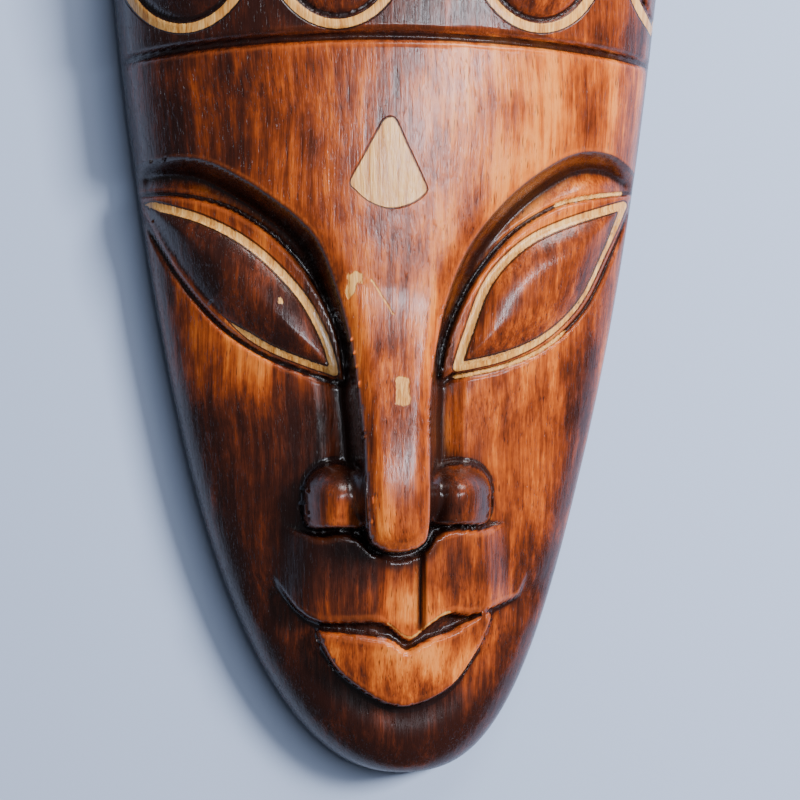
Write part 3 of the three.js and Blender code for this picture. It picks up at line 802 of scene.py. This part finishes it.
# %% Stained colour, drawn darker by painted shade and lighter by painted light where the vertices say
# The last two weights darken the tone where painted shade is laid and lighten it where painted light is laid.
stain_tone_and_painted_light = weighted([
    (streaks, 0.42), (blotches, 0.55), (patches, 0.16), (broad_streaks, 0.42), (fibres, 0.2),
    (number("darker_stain_and_painted_shade"), -0.24), (number("lighter_stain_and_painted_light"), 0.12),
])
stain_and_painted_light = ramp(span(stain_tone_and_painted_light, 0.58, 1.15), [
    (0.0, "#260f0a"), (0.22, "#471d0e"), (0.45, "#6f2e11"),
    (0.66, "#964414"), (0.85, "#ba611f"), (1.0, "#d07c36"),
])
stain_and_painted_light = over(stain_and_painted_light, srgb("#1d0b09"), maths("MULTIPLY", pores, 0.7))

# %% Dark wax and painted shade in the recesses, thin stain and a painted highlight on the ridges
fine = number("fine_recess")
broad = number("broad_recess")
# Ridges are drawn lighter, partly as stain worn thin and partly as a painted highlight along the edges; less
# so where the stain is drawn darker.
thin_stain_and_painted_highlight = span(maths("ADD", fine, maths("MULTIPLY", patches, 0.25)), 0.0, -0.35)
thin_stain_and_painted_highlight = maths("MULTIPLY", thin_stain_and_painted_highlight, maths("SUBTRACT", 1.0, number("darker_stain_and_painted_shade")))
stain_and_painted_light = over(stain_and_painted_light, srgb("#c2602a"), maths("MULTIPLY", thin_stain_and_painted_highlight, 0.25))
# Recesses are drawn near black, partly as dark wax in the cuts and partly as painted shade, at a fine and a
# broad scale.
uneven = maths("MULTIPLY", maths("SUBTRACT", patches, 0.5), 1.6)
wax_and_painted_shade = maths("MAXIMUM", span(maths("ADD", fine, maths("MULTIPLY", uneven, 0.2)), 0.04, 0.5),
              span(maths("ADD", broad, uneven), 0.5, 4.2, 0, 0.9))
stain_and_painted_light = over(stain_and_painted_light, srgb("#170a09"), maths("MULTIPLY", wax_and_painted_shade, 0.93))
# Painted shade: a dark band outside the forehead's edge, on the wall under the brow and beside the nose, with
# a darker painted shadow line just under the edge.
brow_edge = maths("ADD", number("brow_line"), uneven)
painted_shade_under_brow = maths("MULTIPLY", span(brow_edge, 0.5, -1.2), span(brow_edge, -8.5, -5))
painted_shadow_line_under_brow = maths("MULTIPLY", span(number("brow_line"), 0.2, -0.3), span(number("brow_line"), -2.4, -1.2))
painted_shade_under_brow = maths("MAXIMUM", maths("MULTIPLY", painted_shade_under_brow, 0.72), maths("MULTIPLY", painted_shadow_line_under_brow, 0.85))
stain_and_painted_light = over(stain_and_painted_light, srgb("#1c0c09"), painted_shade_under_brow)

# %% Bare wood of the scraped lines and chips
bare_grain = weighted([(streaks, 0.6), (fibres, 0.5)])
bare = ramp(span(bare_grain, 0.35, 0.8), [
    (0.0, "#94581f"), (0.3, "#bb8140"), (0.65, "#d29e5a"), (1.0, "#e0ba7e"),
])
ragged = maths("MULTIPLY", maths("SUBTRACT", grain(0.7, 1.6, 2, 0.6, 83), 0.5), 1.1)
eye_band = band(number("band_half"), number("eye_line"))
loop_band = band(LOOP_BAND / 2, number("loop_line"), LOOP_BAND / 2)
strip_band = only_where(band(0.65, number("lid_edge"), -1.7), "strip")
fan = number("fan_mark")
lines = maths("MAXIMUM", maths("MAXIMUM", eye_band, loop_band), fan)
lip_edge = only_where(band(0.5, number("lip_line"), 0.2), "lip_worn")
scratch = only_where(band(0.3, number("scratch_line")), "scratched")
worn = maths("MAXIMUM", maths("MAXIMUM", number("chip"), strip_band), maths("MAXIMUM", lip_edge, scratch))
bareness = maths("MAXIMUM", span(maths("ADD", lines, maths("MULTIPLY", ragged, 0.35)), -0.1, 0.12),
                 span(maths("ADD", worn, ragged), -0.15, 0.25))
outlined = maths("MULTIPLY", span(lines, -0.75, -0.3), span(lines, 0.05, -0.15))
stain_and_painted_light = over(stain_and_painted_light, srgb("#1a0b08"), maths("MULTIPLY", outlined, 0.8))
colour = over(stain_and_painted_light, bare, bareness)

# %% Gloss and small relief
gouge_places = add(tree, "Mapping", {"Vector": in_mm, "Scale": (0.11, 0.04, 0.11)}).outputs["Vector"]
gouge_marks = add(tree, "TexVoronoi", {"Vector": gouge_places, "Scale": 1.0}).outputs["Distance"]
relief = weighted([
    (fibres, 0.05), (streaks, 0.14), (patches, 0.08), (blotches, 0.22), (pores, -0.05), (outlined, -0.25),
    (bareness, -0.12), (maths("MULTIPLY", gouge_marks, number("back")), 1.4),
])
bump = add(tree, "Bump", {"Height": relief, "Distance": MM, "Strength": 1.0}).outputs["Normal"]
gloss = span(weighted([(patches, 0.5), (fibres, 0.5)]), 0.3, 0.7, 0.17, 0.34)
gloss = maths("ADD", gloss, maths("MULTIPLY", number("back"), 0.35))
varnish = maths("MULTIPLY", maths("SUBTRACT", 1.0, number("back")), 0.22)
raw = ramp(span(bare_grain, 0.3, 0.85), [(0.0, "#4a2c18"), (0.5, "#6d4527"), (1.0, "#8a5c38")])
colour = over(colour, raw, maths("MULTIPLY", number("back"), 0.9))
surface = add(tree, "BsdfPrincipled", {
    "Base Color": colour,
    "Roughness": gloss,
    "IOR": 1.5,
    "Coat Weight": varnish,
    "Coat Roughness": 0.1,
    "Normal": bump,
    "Coat Normal": bump,
})
add(tree, "OutputMaterial", {"Surface": surface.outputs["BSDF"]})
print("finish has", len(tree.nodes), "nodes")

# %% Make the mask's mesh
mask_mesh = bpy.data.meshes.new("carved_mask")
bm.to_mesh(mask_mesh)
bm.free()
mask_mesh.shade_smooth()
mask_mesh.materials.append(wood)
PLAIN_WOOD = {name: -NEAR for name in ("eye_line", "lid_edge", "loop_line", "fan_mark", "chip", "brow_line")}
PLAIN_WOOD["darker_stain_and_painted_shade"] = 0.8
for name, values in FACE_NUMBERS.items():
    whole = np.full(len(mask_mesh.vertices), PLAIN_WOOD.get(name, 0), dtype=float)
    whole[: len(values)] = values
    mask_mesh.attributes.new(name, "FLOAT", "POINT").data.foreach_set("value", whole)
back = np.zeros(len(mask_mesh.vertices))
back[hollow_from:] = 1
mask_mesh.attributes.new("back", "FLOAT", "POINT").data.foreach_set("value", back)
mask = bpy.data.objects.new("carved_mask", mask_mesh)
bpy.context.scene.collection.objects.link(mask)

# %% Cut the hanging slot into the top of the rim
slot = bmesh.new()
bmesh.ops.create_cube(slot, size=1)
slot_reach = SLOT_INTO_RIM + SLOT_INTO_HOLLOW
slot_top = MASK_LENGTH / 2 - RIM_WIDTH + SLOT_INTO_RIM
bmesh.ops.scale(slot, vec=Vector((SLOT_WIDTH, slot_reach, SLOT_HEIGHT)) * MM, verts=slot.verts)
slot_middle = Vector((0, slot_top - slot_reach / 2, SLOT_LIP + SLOT_HEIGHT / 2)) * MM
bmesh.ops.translate(slot, vec=slot_middle, verts=slot.verts)
slot_mesh = bpy.data.meshes.new("slot_cutter")
slot.to_mesh(slot_mesh)
slot.free()
cutter = bpy.data.objects.new("slot_cutter", slot_mesh)
bpy.context.scene.collection.objects.link(cutter)
cut = mask.modifiers.new("hanging_slot", "BOOLEAN")
cut.operation = "DIFFERENCE"
cut.solver = "EXACT"
cut.object = cutter
finished = bpy.data.meshes.new_from_object(mask.evaluated_get(bpy.context.evaluated_depsgraph_get()))
mask.modifiers.clear()
bpy.data.objects.remove(cutter)
mask.data = finished
places = np.array([v.co for v in finished.vertices]) / MM
in_slot = (np.abs(places[:, 0]) < SLOT_WIDTH / 2 + 4) & (places[:, 2] < SLOT_LIP + SLOT_HEIGHT + 1)
in_slot &= (places[:, 1] > slot_top - slot_reach - 2) & (places[:, 1] < slot_top + 2)
for name in [*FACE_NUMBERS, "back"]:
    values = np.zeros(len(places))
    finished.attributes[name].data.foreach_get("value", values)
    values[in_slot] = 1 if name == "back" else PLAIN_WOOD.get(name, 0)
    finished.attributes[name].data.foreach_set("value", values)
print("vertices before and after the slot:", len(back), len(places))

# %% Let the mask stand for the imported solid
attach(mask, "root")
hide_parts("mask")

# %% [markdown]
# The stage
#
# A plain pale floor, a little cool in colour, sets off the warm wood. A tall narrow panel a little to the
# right of the face draws a long highlight down the forehead and the nose. A strong panel farther to the right
# gives most of the light and leaves the left side of each form dark. It isn't mirrored in the varnish, so the
# stain keeps its colour there. A small panel above the crown catches what faces up, and a dim even sky fills
# the shadows.

# %% Floor
floor_mesh = bpy.data.meshes.new("floor")
bm = bmesh.new()
bmesh.ops.create_grid(bm, x_segments=1, y_segments=1, size=4)
bm.to_mesh(floor_mesh)
bm.free()
floor = bpy.data.objects.new("floor", floor_mesh)
bpy.context.scene.collection.objects.link(floor)
pale = bpy.data.materials.new("pale_matte_paint")
pale.use_nodes = True
pale.node_tree.nodes["Principled BSDF"].inputs["Base Color"].default_value = srgb("#9fadc9")
pale.node_tree.nodes["Principled BSDF"].inputs["Roughness"].default_value = 0.8
floor_mesh.materials.append(pale)


# %% Lights
def panel(name, toward_right, toward_crown, distance, size, power):
    """A soft panel of light, placed by its angles from straight above the face."""
    data = bpy.data.lights.new(name, "AREA")
    data.shape = "RECTANGLE"
    data.size, data.size_y = size
    data.energy = power
    light = bpy.data.objects.new(name, data)
    bpy.context.scene.collection.objects.link(light)
    right, up = math.tan(math.radians(toward_right)), math.tan(math.radians(toward_crown))
    away = Vector((right, up, 1)).normalized()
    light.location = Vector((0, -0.03, 0.03)) + away * distance
    light.rotation_euler = away.to_track_quat("Z", "Y").to_euler()
    return light


key = panel("key", toward_right=16, toward_crown=6, distance=1.2, size=(0.08, 0.7), power=7)
key.data.color = (0.84, 0.9, 1.0)
panel("above", toward_right=30, toward_crown=55, distance=1.3, size=(0.6, 0.4), power=10)
side = panel("side", toward_right=44, toward_crown=16, distance=1.3, size=(0.35, 0.35), power=42)
side.visible_glossy = False
world = bpy.data.worlds.new("soft_sky")
bpy.context.scene.world = world
world.use_nodes = True
world.node_tree.nodes["Background"].inputs["Color"].default_value = srgb("#e6ebf5")
world.node_tree.nodes["Background"].inputs["Strength"].default_value = 0.12
